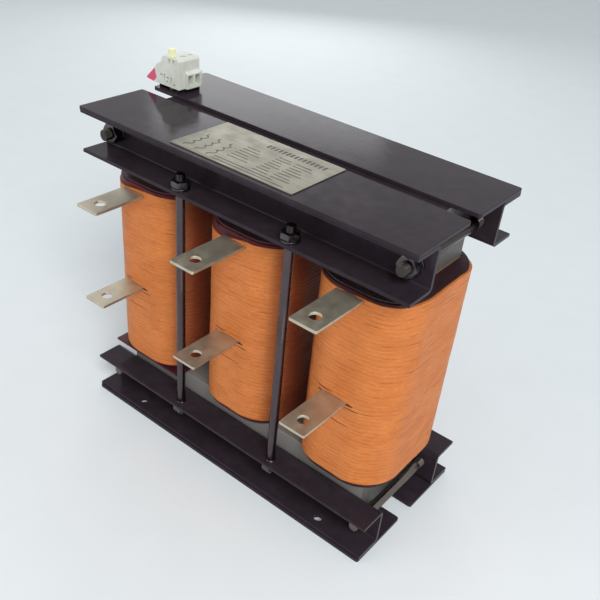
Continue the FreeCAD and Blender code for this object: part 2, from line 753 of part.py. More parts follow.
def rail():
    """A top-hat rail screwed to the rear top bar, across its width."""
    label = "mounting_rail"
    body = new_body(label)
    section = sketch_on(body, "XZ_Plane", f"{label}_section")
    edge, hat, sheet_metal = "Size.rail_width / 2", "Size.rail_hat_width / 2", "Size.rail_sheet"
    top = "Size.rail_height"
    half = [
        (hat, "0"),
        (hat, f"{top} - {sheet_metal}"),
        (edge, f"{top} - {sheet_metal}"),
        (edge, top),
        (f"{hat} - {sheet_metal}", top),
        (f"{hat} - {sheet_metal}", sheet_metal),
    ]
    mirrored = [(f"-({across})", up) for across, up in reversed(half)]
    outline(section, half + mirrored)
    pad(body, section, "Size.rail_length", backwards=True)
    holes = sketch_on(body, "XY_Plane", f"{label}_holes")
    for name, along in rail_screw_rows().items():
        circle(holes, "0", f"{along} - {RAIL_START}", "Size.rail_screw_hole", name)
    pocket(body, holes, sheet_metal, backwards=True)
    put(body, RAIL_ACROSS, RAIL_START, HEIGHT)


def rail_screws():
    """Two pan-head screws that hold the rail."""
    screws = []
    for name, along in rail_screw_rows().items():
        screw = doc.addObject("Part::Fuse", f"{name}_rail_screw")
        seat = f"{HEIGHT} + Size.rail_sheet"
        tip = f"{HEIGHT} - Size.rail_screw_depth"
        screw.Base = cylinder(f"{name}_rail_screw_head", "Size.rail_screw_head",
                              "Size.rail_screw_head_height", RAIL_ACROSS, along, seat)
        screw.Tool = cylinder(f"{name}_rail_screw_shank", "Size.rail_screw_diameter",
                              f"{seat} - ({tip})", RAIL_ACROSS, along, tip)
        screws.append(screw)
    group("rail_screws", screws)


def foot_outline():
    """Corners along the underside of a rail piece, whose two feet grip the rail."""
    return [
        ("-Size.block_length / 2", "Size.block_base"),
        (f"-{RAIL_GRIP}", "Size.block_base"),
        (f"-{RAIL_GRIP}", "Size.rail_height"),
        (RAIL_GRIP, "Size.rail_height"),
        (RAIL_GRIP, "Size.block_base"),
    ]


def tower_outline(shoulder_end, step=None):
    """The side view of a rail terminal: feet, a tower at one end and a sloping shoulder."""
    left, right = "-Size.block_length / 2", "Size.block_length / 2"
    top = "Size.block_height"
    if step:
        end = [
            (f"{right} + {step}", "Size.block_base"),
            (f"{right} + {step}", "Size.side_step_height"),
            (right, f"Size.side_step_height + {step}"),
        ]
    else:
        end = [(right, "Size.block_base")]
    return [
        *foot_outline(),
        *end,
        (right, f"{top} - Size.end_chamfer"),
        (f"{right} - Size.end_chamfer", top),
        (f"{TOWER_ACROSS} + Size.tower_chamfer", top),
        (TOWER_ACROSS, f"{top} - Size.tower_chamfer"),
        (TOWER_ACROSS, "Size.shoulder_height"),
        (f"{left} + Size.shoulder_break_across", "Size.shoulder_break_height"),
        *shoulder_end,
    ]


def plate_outline():
    """The side view of the low plate that closes the row."""
    half = "Size.block_length / 2"
    return [
        *foot_outline(),
        (half, "Size.block_base"),
        (half, "Size.end_plate_height"),
        (f"-{half}", "Size.end_plate_height"),
    ]


def block_piece(label, start, thickness, corners):
    """One piece of the terminal row, from the corners of its side view."""
    body = new_body(label)
    side_view = sketch_on(body, "XZ_Plane", f"{label}_side_view")
    outline(side_view, corners)
    pad(body, side_view, thickness, backwards=True)
    put(body, RAIL_ACROSS, f"{ROW_START} + {start}", HEIGHT)
    return body


def screw_places():
    """Distance across the block of its two screw wells."""
    return {
        "tower": "(Size.block_length / 2 - Size.screw_well_inset)",
        "shoulder": "(Size.screw_well_inset - Size.block_length / 2)",
    }


def terminal_slice(label, start):
    """A terminal with a wire entry at each end and a screw well above each entry."""
    thickness = "Size.slice_thickness"
    straight_end = [("-Size.block_length / 2", "Size.shoulder_foot_height")]
    body = block_piece(label, start, thickness, tower_outline(straight_end, "Size.side_step_depth"))
    middle = f"{thickness} / 2"
    entry = (f"{middle} - Size.entry_width / 2", f"{middle} + Size.entry_width / 2",
             "Size.entry_bottom", "Size.entry_bottom + Size.entry_height")
    right_end = sketch_on(body, "YZ_Plane", f"{label}_right_entry",
                          "Size.block_length / 2 + Size.side_step_depth")
    rectangle(right_end, *entry)
    pocket(body, right_end, "Size.entry_depth")
    left_end = sketch_on(body, "YZ_Plane", f"{label}_left_entry", "-Size.block_length / 2")
    rectangle(left_end, *entry)
    pocket(body, left_end, "Size.entry_depth", backwards=True)
    wells = sketch_on(body, "XY_Plane", f"{label}_wells", "Size.block_height")
    for name, across in screw_places().items():
        circle(wells, across, middle, "Size.screw_well", name)
    pocket(body, wells, "Size.screw_well_floor")


def block_screws(starts):
    """The slotted clamping screws at the bottom of the wells."""
    screws = []
    floor = f"({HEIGHT} + Size.block_height - Size.screw_well_floor)"
    for number_in_row, start in enumerate(starts):
        along = f"{ROW_START} + {start} + Size.slice_thickness / 2"
        for name, across in screw_places().items():
            label = f"{name}_screw_{number_in_row}"
            place = f"{RAIL_ACROSS} + {across}", along
            screw = doc.addObject("Part::Cut", label)
            screw.Base = cylinder(f"{label}_head", "Size.block_screw_diameter",
                                  "Size.block_screw_height", *place, floor)
            screw.Tool = box(f"{label}_slot", "Size.block_screw_diameter", "Size.screw_slot_width",
                             "Size.screw_slot_depth", *place,
                             f"{floor} + Size.block_screw_height - Size.screw_slot_depth")
            screws.append(screw)
    group("terminal_screws", screws)


def end_clamp():
    """The first piece of the row, with a skirt over the rail's end and a notch for the lever."""
    label = "end_clamp"
    notched_end = [
        (f"{LEVER_TOP_ACROSS} - Size.block_length / 2", "Size.lever_top"),
        ("Size.lever_root - Size.block_length / 2", "Size.lever_root_height"),
    ]
    body = block_piece(label, "0", "Size.end_clamp_thickness", tower_outline(notched_end))
    skirt = sketch_on(body, "XZ_Plane", f"{label}_skirt")
    rectangle(skirt, f"-{RAIL_GRIP}", RAIL_GRIP, "Size.block_base", "Size.rail_height")
    pad(body, skirt, "Size.clamp_skirt", backwards=True)


def lever():
    """The wedge-shaped release lever in the notch of the end clamp."""
    label = "release_lever"
    body = new_body(label)
    side_view = sketch_on(body, "XZ_Plane", f"{label}_side_view")
    outline(side_view, [
        ("0", "Size.block_base"),
        ("Size.lever_root", "Size.lever_root_height"),
        (LEVER_TOP_ACROSS, "Size.lever_top"),
        ("-Size.lever_reach", "Size.lever_tip_height"),
    ])
    pad(body, side_view, "Size.end_clamp_thickness", backwards=True)
    tip = number("-Size.lever_reach")
    fillet(body, f"{label}_tip", lambda edge: all(abs(v.X - tip) < NEAR for v in edge.Vertexes),
           "Size.lever_tip_radius")
    put(body, f"{RAIL_ACROSS} - Size.block_length / 2", ROW_START, HEIGHT)


def tag():
    """The pale marker tag on the end clamp's top."""
    label = "marker_tag"
    body = new_body(label)
    plan = sketch_on(body, "XY_Plane", f"{label}_plan")
    rectangle(plan, "0", "Size.tag_length", "0", "Size.tag_width")
    pad(body, plan, "Size.tag_height")
    fillet(body, f"{label}_corners", lambda edge: runs_along(edge, FreeCAD.Vector(0, 0, 1)),
           "Size.tag_corner")
    put(body, f"{RAIL_ACROSS} + {TOWER_ACROSS} + Size.tower_chamfer + Size.tag_margin",
        f"{ROW_START} + (Size.end_clamp_thickness - Size.tag_width) / 2",
        f"{HEIGHT} + Size.block_height")


def switch_terminals():
    """End clamp, two terminals and an end plate in a row along the rail."""
    first = "Size.end_clamp_thickness"
    second = f"({first} + Size.slice_thickness)"
    end_clamp()
    terminal_slice("near_terminal_slice", first)
    terminal_slice("far_terminal_slice", second)
    block_piece("terminal_end_plate", f"({second} + Size.slice_thickness)",
                "Size.end_plate_thickness", plate_outline())
    block_screws((first, second))


# Build, test and export


def check_document():
    """Stop if any feature failed or any piece is not a sound solid."""
    for thing in doc.Objects:
        if {"Invalid", "Error"} & set(thing.State):
            raise RuntimeError(f"{thing.Name} failed: {thing.State}")
    for piece in nodes:
        if piece.Shape.isNull() or not piece.Shape.isValid() or not piece.Shape.Solids:
            raise RuntimeError(f"{piece.Label} has no valid shape")


def export():
    """Write each piece to its own file."""
    os.makedirs("parts", exist_ok=True)
    for piece in nodes:
        piece.Shape.exportStep(f"parts/{piece.Label}.step")


sheet = fill_sheet()
base_bars()
channels()
top_bars()
core()
for coil_side, coil_place in COILS.items():
    coil(coil_side, coil_place)
rod_fasteners()
stud_fasteners()
nameplate()
rail()
rail_screws()
switch_terminals()
lever()
tag()
doc.recompute()
check_document()
export()
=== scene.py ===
"""Dresses the three-phase filter reactor: the CAD frame gives its places, this file its looks."""

import math
from contextlib import contextmanager

import bmesh
import bpy
from mathutils import Matrix, Vector


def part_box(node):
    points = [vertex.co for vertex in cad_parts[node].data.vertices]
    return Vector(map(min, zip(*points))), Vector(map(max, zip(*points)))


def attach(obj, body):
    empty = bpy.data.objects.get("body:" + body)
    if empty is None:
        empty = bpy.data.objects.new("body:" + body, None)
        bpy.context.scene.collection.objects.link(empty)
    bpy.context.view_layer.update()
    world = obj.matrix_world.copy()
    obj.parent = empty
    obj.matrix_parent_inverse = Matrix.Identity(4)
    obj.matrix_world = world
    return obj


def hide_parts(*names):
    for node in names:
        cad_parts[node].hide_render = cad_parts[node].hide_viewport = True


bl_info = {
    "name": "Filter Reactor Dressing",
    "version": (1, 0, 0),
    "blender": (4, 5, 0),
    "location": "View3D > Sidebar > Reactor",
    "description": "Taped coils, enamelled channels, fasteners and terminals of a filter reactor",
    "category": "Object",
}

MM = 0.001
COILS = ("left", "middle", "right")
# Share of its colour that each coil's end and seat boards keep: painted shade, darkest on the right
# coil, whose end lies in shadow
END_SHADE_SHARE = {"left": 1, "middle": 0.8, "right": 0.35}
LEVELS = ("upper", "lower")
ROWS = ("front", "rear")
SIDES = ("left", "right")
X, Y, Z = Vector((1, 0, 0)), Vector((0, 1, 0)), Vector((0, 0, 1))
# Sockets of the Mix node in its colour mode
MIX_A, MIX_B, MIX_COLOUR = 6, 7, 2
# Where most values of a noise lie
MIDDLE = (0.35, 0.65)
# A face looks along an axis when its normal has at least this share of it
FACING = 0.9
# Points as near as this are one point, and faces that meet so flatly are one face
SAME_POINT, SAME_FACE = 0.001 * MM, math.radians(0.5)
# Edges sharper than the first are rounded over; those sharper than the second stay crisp
ROUNDED, CRISP = math.radians(30), math.radians(35)

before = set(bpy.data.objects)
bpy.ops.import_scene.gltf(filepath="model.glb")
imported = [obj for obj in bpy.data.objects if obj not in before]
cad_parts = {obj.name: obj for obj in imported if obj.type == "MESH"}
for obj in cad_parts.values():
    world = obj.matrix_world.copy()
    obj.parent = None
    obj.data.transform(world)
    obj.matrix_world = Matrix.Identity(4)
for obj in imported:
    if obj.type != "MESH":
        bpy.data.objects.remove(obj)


# Colour and shader helpers


def linear(code):
    """Turn an sRGB hex colour into linear red, green and blue."""
    channels = [int(code[place:place + 2], 16) / 255 for place in (0, 2, 4)]
    return [c / 12.92 if c <= 0.04045 else ((c + 0.055) / 1.055) ** 2.4 for c in channels]


def opaque(colour):
    """Add full opacity to a linear colour."""
    return (*colour, 1)


def darker(colour, share):
    """A share of a linear colour, for its shadowed or soiled tone."""
    return opaque([channel * share for channel in colour[:3]])


def add_node(tree, kind, options, inputs):
    """Add a shader node, set its options, and give each input a value or an output to follow."""
    new = tree.nodes.new(kind)
    for option, value in options.items():
        setattr(new, option, value)
    for socket, value in inputs.items():
        if isinstance(value, bpy.types.NodeSocket):
            tree.links.new(value, new.inputs[socket])
        else:
            new.inputs[socket].default_value = value
    return new


def new_material(name, sockets):
    """A material whose shader has these plain values, with its tree, shader and object coordinates."""
    made = bpy.data.materials.new(name)
    made.use_nodes = True
    tree = made.node_tree
    shader = tree.nodes["Principled BSDF"]
    for socket, value in sockets.items():
        shader.inputs[socket].default_value = value
    place = add_node(tree, "ShaderNodeTexCoord", {}, {}).outputs["Object"]
    return made, tree, shader, place


def grain(tree, place, size, detail=3):
    """Noise whose features have this size in metres along X, Y and Z."""
    scale = [1 / length for length in size]
    mapped = add_node(tree, "ShaderNodeMapping", {}, {"Vector": place, "Scale": scale})
    noise = add_node(tree, "ShaderNodeTexNoise", {},
                     {"Vector": mapped.outputs[0], "Scale": 1, "Detail": detail})
    return noise.outputs["Fac"]


def stretched(pattern, span, ends):
    """The inputs of a Map Range node that stretch a span of a pattern to new ends."""
    return {"Value": pattern, "From Min": span[0], "From Max": span[1], "To Min": ends[0],
            "To Max": ends[1]}


def two_tone(tree, pattern, one, other, span=MIDDLE, ends=(0, 1)):
    """Go from one colour to another as a pattern goes through a span."""
    share = add_node(tree, "ShaderNodeMapRange", {}, stretched(pattern, span, ends))
    mixed = add_node(tree, "ShaderNodeMix", {"data_type": "RGBA"},
                     {0: share.outputs[0], MIX_A: one, MIX_B: other})
    return mixed.outputs[MIX_COLOUR]


def finish(tree, shader, colour, wear=None, rough=None, span=MIDDLE, height=None, depth=None):
    """Link a colour, a roughness that follows the wear, and a height map of a real depth."""
    tree.links.new(colour, shader.inputs["Base Color"])
    if wear:
        ranged = add_node(tree, "ShaderNodeMapRange", {}, stretched(wear, span, rough))
        tree.links.new(ranged.outputs[0], shader.inputs["Roughness"])
    if height:
        bump = add_node(tree, "ShaderNodeBump", {}, {"Height": height, "Distance": depth})
        tree.links.new(bump.outputs[0], shader.inputs["Normal"])


# Modelling helpers


@contextmanager
def editing(*objects):
    """Open objects in edit mode and close them afterwards."""
    choose(*objects)
    bpy.ops.object.mode_set(mode="EDIT")
    yield
    bpy.ops.object.mode_set(mode="OBJECT")


def choose(*objects):
    """Select these objects alone; the first is the active one."""
    bpy.ops.object.select_all(action="DESELECT")
    for obj in objects:
        obj.select_set(True)
    bpy.context.view_layer.objects.active = objects[0]


def pick(kind, test):
    """In edit mode, select the vertices, edges or faces that pass a test, and nothing else."""
    obj = bpy.context.active_object
    bpy.ops.mesh.select_mode(type=kind)
    bpy.ops.mesh.select_all(action="DESELECT")
    shape = bmesh.from_edit_mesh(obj.data)
    for part in {"VERT": shape.verts, "EDGE": shape.edges, "FACE": shape.faces}[kind]:
        if test(part):
            part.select_set(True)
    shape.select_flush_mode()
    bmesh.update_edit_mesh(obj.data)


def settle(obj):
    """Put an object's place, turn and scale into its mesh."""
    choose(obj)
    bpy.ops.object.transform_apply(location=True, rotation=True, scale=True)
    return obj


def block(name, low, high):
    """A block between two corners."""
    low, high = Vector(low), Vector(high)
    bpy.ops.mesh.primitive_cube_add(size=1, location=(low + high) / 2, scale=high - low)
    obj = bpy.context.active_object
    obj.name = name
    return settle(obj)


def turn_for(axis):
    """The turn that lays a Z-axis shape along X, Y or Z."""
    return Z.rotation_difference(axis).to_euler()


def bar(name, centre, axis, radius, length, sides=48):
    """A round bar about a centre, along an axis."""
    bpy.ops.mesh.primitive_cylinder_add(vertices=sides, radius=radius, depth=length,
                                        location=centre, rotation=turn_for(axis))
    obj = bpy.context.active_object
    obj.name = name
    return settle(obj)


def modify(obj, kind, **settings):
    """Add a modifier, set it and apply it."""
    choose(obj)
    modifier = obj.modifiers.new(kind.title(), kind)
    for setting, value in settings.items():
        setattr(modifier, setting, value)
    bpy.ops.object.modifier_apply(modifier=modifier.name)


def ease(obj, width):
    """Round over the sharp edges of a piece by a small radius."""
    modify(obj, "BEVEL", width=width, segments=2, limit_method="ANGLE", angle_limit=ROUNDED,
           harden_normals=False)
    return obj


def carve(obj, tool, operation="DIFFERENCE", crossing=False):
    """Cut a piece with a tool, or keep what they share, and delete the tool.

    A tool made of shapes that cross one another needs crossing.
    """
    materials = "TRANSFER" if tool.data.materials else "INDEX"
    modify(obj, "BOOLEAN", operation=operation, object=tool, solver="EXACT", use_self=crossing,
           material_mode=materials)
    bpy.data.objects.remove(tool)
    return obj


def join(name, objects):
    """Make one piece of several."""
    choose(*objects)
    bpy.ops.object.join()
    obj = bpy.context.active_object
    obj.name = name
    return obj


def copy_of(obj):
    """A copy with its own mesh."""
    choose(obj)
    bpy.ops.object.duplicate()
    return bpy.context.active_object


def moved(obj, step):
    """Move a piece, with its place kept in its mesh."""
    with editing(obj):
        bpy.ops.mesh.select_all(action="SELECT")
        bpy.ops.transform.translate(value=step)
    return obj


def welded(name):
    """A copy of a CAD node with its loose triangles joined into whole faces."""
    obj = copy_of(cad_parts[name])
    obj.name = f"dressed_{name}"
    with editing(obj):
        bpy.ops.mesh.select_all(action="SELECT")
        bpy.ops.mesh.remove_doubles(threshold=SAME_POINT)
        bpy.ops.mesh.dissolve_limited(angle_limit=SAME_FACE)
    obj.data.materials.clear()
    return obj


def places(name):
    """The box of each solid of a CAD node, as (low, high) corners."""
    obj = welded(name)
    with editing(obj):
        bpy.ops.mesh.select_all(action="SELECT")
        bpy.ops.mesh.separate(type="LOOSE")
    boxes = []
    for part in list(bpy.context.selected_objects):
        points = [vertex.co for vertex in part.data.vertices]
        boxes.append((Vector(map(min, *points)), Vector(map(max, *points))))
        bpy.data.objects.remove(part)
    return sorted(boxes, key=lambda box: tuple(box[0]))


def hand_over(obj, nodes, materials=(), flat=True):
    """Give a finished piece its shading, its materials and its place in the frame.

    Flat keeps the shading of its large faces level, so that only the rounded edges curve.
    """
    for material in materials:
        obj.data.materials.append(material)
    choose(obj)
    bpy.ops.object.shade_smooth_by_angle(angle=CRISP)
    if flat:
        modify(obj, "WEIGHTED_NORMAL", keep_sharp=True)
    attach(obj, "root")
    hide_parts(*nodes)
    return obj


def dress(name, material, width):
    """Give a CAD node its edge rounding and its finish."""
    return hand_over(ease(welded(name), width), [name], [material])


# Finishes


def black_enamel(colour):
    """Gloss black air-drying enamel, sprayed over pressed steel.

    It gives a deep black that takes up the room's light, with a faint orange peel and a thin
    film of dust.
    """
    made, tree, shader, place = new_material("Sprayed black enamel",
                                             {"IOR": 1.5, "Specular IOR Level": 0.1})
    cloud = grain(tree, place, (60 * MM, 40 * MM, 40 * MM))
    dust = grain(tree, place, (12 * MM,) * 3, detail=5)
    film = add_node(tree, "ShaderNodeMath", {"operation": "MULTIPLY"}, {0: cloud, 1: dust}).outputs[0]
    span = (0.15, 0.4)
    tone = two_tone(tree, film, darker(colour, 0.9), darker(colour, 1.25), span)
    peel = grain(tree, place, (2.4 * MM,) * 3, detail=2)
    finish(tree, shader, tone, film, (0.13, 0.2), span, height=peel, depth=0.02 * MM)
    return made


def core_steel(name, colour):
    """Grain-oriented electrical steel, sheared into laminations and stacked along Y.

    It gives an even grey, a shade apart every few sheets, under the dull film of the core varnish.
    """
    made, tree, shader, place = new_material(name, {"Metallic": 0.25, "IOR": 1.5})
    # Sheets are 0.5 mm thick; they are drawn as bundles of 2 mm so that they show
    sheets = grain(tree, place, (160 * MM, 2 * MM, 160 * MM))
    varnish = grain(tree, place, (22 * MM, 22 * MM, 14 * MM), detail=4)
    streaked = two_tone(tree, sheets, darker(colour, 0.82), darker(colour, 1.08))
    tone = two_tone(tree, varnish, streaked, darker(colour, 0.62), (0.5, 0.75), (0, 0.3))
    finish(tree, shader, tone, varnish, (0.42, 0.58), height=sheets, depth=0.08 * MM)
    return made


def pressboard(name, colour):
    """Cellulose board, calendered and varnished: mottled, slightly fibrous and half matt."""
    made, tree, shader, place = new_material(name, {"IOR": 1.48})
    fibre = grain(tree, place, (6 * MM, 2.5 * MM, 1.5 * MM), detail=5)
    tone = two_tone(tree, fibre, darker(colour, 0.7), darker(colour, 1.2))
    finish(tree, shader, tone, fibre, (0.45, 0.7), height=fibre, depth=0.08 * MM)
    return made


def winding_varnish(name, colour):
    """Foil winding dipped in red impregnating varnish: a dark maroon sheen, uneven where it pooled."""
    made, tree, shader, place = new_material(name, {"IOR": 1.5, "Specular IOR Level": 0.25})
    pool = grain(tree, place, (10 * MM, 10 * MM, 5 * MM), detail=4)
    tone = two_tone(tree, pool, darker(colour, 0.35), darker(colour, 1.1))
    finish(tree, shader, tone, pool, (0.35, 0.55), height=pool, depth=0.2 * MM)
    return made


def gap_shaded(tree, place, tone, gap_shade, gap):
    """Darken a colour where varnish ran down between two coils, this far from the centre."""
    away = add_node(tree, "ShaderNodeSeparateXYZ", {}, {0: place}).outputs[0]
    for operation, other in (("ABSOLUTE", 0), ("SUBTRACT", gap), ("ABSOLUTE", 0)):
        step = add_node(tree, "ShaderNodeMath", {"operation": operation}, {0: away, 1: other})
        away = step.outputs[0]
    return two_tone(tree, away, tone, opaque(gap_shade), (15 * MM, 32 * MM), (0.85, 0))


def coil_tape(settings, gap):
    """Woven polyester-glass tape, wound on and baked in varnish.

    It gives a warm orange satin with a short flecked weave, deeper patches where varnish soaked in,
    and a dark red-brown in the gaps between the coils.
    """
    made, tree, shader, place = new_material("Varnished coil tape",
                                             {"IOR": 1.5, "Specular IOR Level": 0.14})
    fleck = grain(tree, place, (5 * MM, 5 * MM, 1.8 * MM), detail=5)
    soak = grain(tree, place, (34 * MM, 34 * MM, 16 * MM), detail=4)
    warm = two_tone(tree, fleck, darker(settings.colour, 0.88), darker(settings.colour, 1.1),
                    (0.3, 0.7))
    tone = two_tone(tree, soak, warm, opaque(settings.soaked), (0.42, 0.7), (0, 0.45))
    # The gaps between the coils get a painted shade
    finish(tree, shader, gap_shaded(tree, place, tone, settings.gap_shade, gap), soak, (0.38, 0.5),
           height=fleck, depth=0.05 * MM)
    return made


def tape_lap(settings, gap):
    """The edge of each turn of tape: mostly the tape's own colour, here and there a dark crease."""
    made, tree, shader, place = new_material("Varnish in the tape laps", {"IOR": 1.5, "Roughness": 0.5,
                                                                           "Specular IOR Level": 0.14})
    broken = grain(tree, place, (26 * MM, 26 * MM, 5 * MM), detail=2)
    tone = two_tone(tree, broken, darker(settings.colour, 0.94), darker(settings.soaked, 0.62),
                    (0.52, 0.74))
    # The laps get the same painted shade between the coils as the tape
    finish(tree, shader, gap_shaded(tree, place, tone, settings.gap_shade, gap))
    return made


def tinned_copper(colour):
    """Electrical copper bar, hot tinned: a satin warm grey with faint drawn marks."""
    made, tree, shader, place = new_material("Tinned copper bar", {"Metallic": 0.8})
    drawn = grain(tree, place, (0.7 * MM, 30 * MM, 3 * MM), detail=4)
    smear = grain(tree, place, (9 * MM, 12 * MM, 9 * MM))
    tone = two_tone(tree, smear, darker(colour, 0.9), darker(colour, 1.04))
    finish(tree, shader, tone, smear, (0.34, 0.44), height=drawn, depth=0.02 * MM)
    return made


def blackened_steel(colour):
    """Nuts and washers, blackened and oiled: a dark grey sheen, lighter where a spanner has rubbed."""
    made, tree, shader, place = new_material("Blackened steel fasteners", {"Metallic": 1})
    rub = grain(tree, place, (4 * MM,) * 3, detail=4)
    tone = two_tone(tree, rub, darker(colour, 0.85), darker(colour, 1.35), (0.5, 0.7))
    finish(tree, shader, tone, rub, (0.24, 0.38), height=rub, depth=0.02 * MM)
    return made


def drawn_steel(name, colour):
    """Cold-drawn steel rod, oiled: an even grey with a narrow bright highlight along it."""
    made, tree, shader, place = new_material(name, {"Metallic": 1})
    oil = grain(tree, place, (12 * MM, 12 * MM, 30 * MM), detail=2)
    tone = two_tone(tree, oil, darker(colour, 0.9), darker(colour, 1.08))
    finish(tree, shader, tone, oil, (0.22, 0.3))
    return made


def brushed_plate(name, colour):
    """Rolled sheet metal brushed along X: fine lines, and a soft broad highlight."""
    made, tree, shader, place = new_material(name, {"Metallic": 1})
    # The brush lines are 0.1 mm wide; they are drawn 0.8 mm wide so that they show
    lines = grain(tree, place, (40 * MM, 0.8 * MM, 0.8 * MM), detail=4)
    smear = grain(tree, place, (18 * MM, 12 * MM, 12 * MM))
    tone = two_tone(tree, lines, darker(colour, 0.86), darker(colour, 1.06))
    finish(tree, shader, tone, smear, (0.34, 0.48), height=lines, depth=0.02 * MM)
    return made


def moulded_plastic(name, colour, roughness=0.45):
    """Injection-moulded polyamide: even colour, fine spark-eroded texture and a soft shine."""
    made, tree, shader, place = new_material(name, {"IOR": 1.53, "Roughness": roughness,
                                                    "Subsurface Weight": 0.05,
                                                    "Subsurface Scale": 1.5 * MM})
    spark = grain(tree, place, (0.5 * MM,) * 3, detail=2)
    cloud = grain(tree, place, (8 * MM,) * 3)
    tone = two_tone(tree, cloud, darker(colour, 0.93), darker(colour, 1.03))
    finish(tree, shader, tone, height=spark, depth=0.03 * MM)
    return made


# Settings


def size_setting(name, description, default, least=0):
    """A length in metres that a user may change, down to a least value."""
    return bpy.props.FloatProperty(name=name, description=description, default=default, min=least,
                                   unit="LENGTH")


def colour_setting(name, description, code):
    """A colour that a user may change; its default is an sRGB hex value."""
    return bpy.props.FloatVectorProperty(name=name, description=description, subtype="COLOR",
                                         default=linear(code), min=0, max=1)


class TapeSettings(bpy.types.PropertyGroup):
    """Sizes and colours of the coils' tape."""

    pitch: size_setting("Turn spacing", "Height of one turn of tape", 4.6 * MM, least=1 * MM)
    lap: size_setting("Lap depth", "Depth of the groove between two turns", 0.14 * MM)
    sag: size_setting("Waviness", "How far the turns wander up and down", 2.4 * MM)
    lumps: size_setting("Lumps", "How uneven the coil's surface is", 0.9 * MM)
    corner: size_setting("Corner radius", "Roundness of a coil's plan", 44 * MM, least=5 * MM)
    slit: size_setting("Slit length", "Opening beside a lower terminal", 8 * MM)
    colour: colour_setting("Tape colour", "Colour of the dry tape", "CF7B41")
    soaked: colour_setting("Soaked colour", "Colour of the tape under thick varnish", "B5622C")
    # Painted shade: the tape darkens towards this colour in the gaps between the coils
    gap_shade: colour_setting("Stain colour", "Colour between the coils", "6A2B20")
    # Painted shade: the faces inside a slit or crease take this dark brown
    inside: colour_setting("Inside colour", "Colour inside a slit", "7A4526")


class InsulationSettings(bpy.types.PropertyGroup):
    """Colours of the windings, boards, formers and spacers."""

    winding: colour_setting("Winding colour", "Colour of a coil's end", "641C28")
    board: colour_setting("Board colour", "Colour of the seat boards", "451620")
    former: colour_setting("Former colour", "Colour of the formers", "3C1A18")
    spacer: colour_setting("Spacer colour", "Colour of the spacers", "8A6A44")


class SteelSettings(bpy.types.PropertyGroup):
    """Edges and colours of the channels, bars and core."""

    edge: size_setting("Edge radius", "Rounding of sawn and rolled edges", 0.5 * MM, least=0.1 * MM)
    enamel: colour_setting("Enamel colour", "Colour of the channels", "30282E")
    core: colour_setting("Core colour", "Colour of the laminations", "9A9692")


class FastenerSettings(bpy.types.PropertyGroup):
    """Threads, nut widths and colours of the rods, studs, nuts and washers."""

    rod_pitch: size_setting("Rod thread pitch", "Pitch of the M10 thread", 1.5 * MM, least=0.5 * MM)
    stud_pitch: size_setting("Stud thread pitch", "Pitch of the M12 thread", 1.75 * MM,
                             least=0.5 * MM)
    rod_thread: size_setting("Rod thread length", "Threaded length at each end of a tie rod",
                             19.5 * MM, least=10 * MM)
    stud_thread: size_setting("Stud thread length", "Threaded length at each end of a clamp stud",
                              34 * MM, least=10 * MM)
    rod_flats: size_setting("Rod nut width", "Across flats of an M10 nut", 17 * MM, least=5 * MM)
    stud_flats: size_setting("Stud nut width", "Across flats of an M12 nut", 19 * MM, least=5 * MM)
    colour: colour_setting("Nut colour", "Colour of nuts and washers", "5E595C")
    rod: colour_setting("Rod colour", "Colour of the tie rods", "5A5054")
    stud: colour_setting("Stud colour", "Colour of the clamp studs", "6E6560")


class TerminalBarSettings(bpy.types.PropertyGroup):
    """Edges and colour of the flat-bar terminals."""

    edge: size_setting("Edge radius", "Rounding of the bar's edges", 0.35 * MM, least=0.05 * MM)
    colour: colour_setting("Tin colour", "Colour of the tinned bar", "C4BAA6")


class NameplateSettings(bpy.types.PropertyGroup):
    """Engraving and colours of the nameplate."""

    depth: size_setting("Engraved depth", "Depth of the filled lines", 0.15 * MM, least=0.02 * MM)
    line: size_setting("Line width", "Width of the engraved lines", 1.4 * MM, least=0.2 * MM)
    colour: colour_setting("Plate colour", "Colour of the bare metal", "8A8678")
    ink: colour_setting("Filler colour", "Colour in the lines", "4E4A42")


class RailTerminalSettings(bpy.types.PropertyGroup):
    """Edges and colours of the rail-mounted terminals."""

    edge: size_setting("Edge radius", "Rounding of the mouldings", 0.4 * MM, least=0.05 * MM)
    plastic: colour_setting("Housing colour", "Colour of the housings", "D6D8CE")
    lever: colour_setting("Lever colour", "Colour of the release lever", "D8466E")
    tag: colour_setting("Tag colour", "Colour of the marker tag", "F2F3BE")
    zinc: colour_setting("Zinc colour", "Colour of the plated screws", "A9A9A4")


class StageSettings(bpy.types.PropertyGroup):
    """Camera, floor and room."""

    eye: bpy.props.FloatVectorProperty(name="Eye", description="Place of the camera",
                                       subtype="TRANSLATION", unit="LENGTH",
                                       default=(443.0 * MM, -570.5 * MM, 659.5 * MM))
    gaze: bpy.props.FloatVectorProperty(name="Gaze", description="Turn of the camera",
                                        subtype="EULER",
                                        default=[math.radians(a) for a in (54.37, -4.99, 38.95)])
    lens: bpy.props.FloatProperty(name="Lens", description="Focal length on a 36 mm sensor",
                                  default=46.63, min=10)
    floor: colour_setting("Floor colour", "Colour of the floor", "E6ECEF")
    room: colour_setting("Room colour", "Colour of the backdrop", "F1F5F7")


SETTINGS = {
    "reactor_tape": TapeSettings,
    "reactor_insulation": InsulationSettings,
    "reactor_steel": SteelSettings,
    "reactor_fasteners": FastenerSettings,
    "reactor_bars": TerminalBarSettings,
    "reactor_nameplate": NameplateSettings,
    "reactor_rail": RailTerminalSettings,
    "reactor_stage": StageSettings,
}


# Pieces


class REACTOR_OT_steelwork(bpy.types.Operator):
    """Dress the channels and flat bars of the clamp frame in black enamel"""

    bl_idname = "reactor.steelwork"
    bl_label = "Channels and Bars"

    def execute(self, context):
        settings = context.scene.reactor_steel
        enamel = black_enamel(settings.enamel)
        for row in ROWS:
            for name in (f"{row}_upper_channel", f"{row}_lower_channel",
                         f"{row}_top_bar", f"{row}_base_bar"):
                dress(name, enamel, settings.edge)
        return {"FINISHED"}


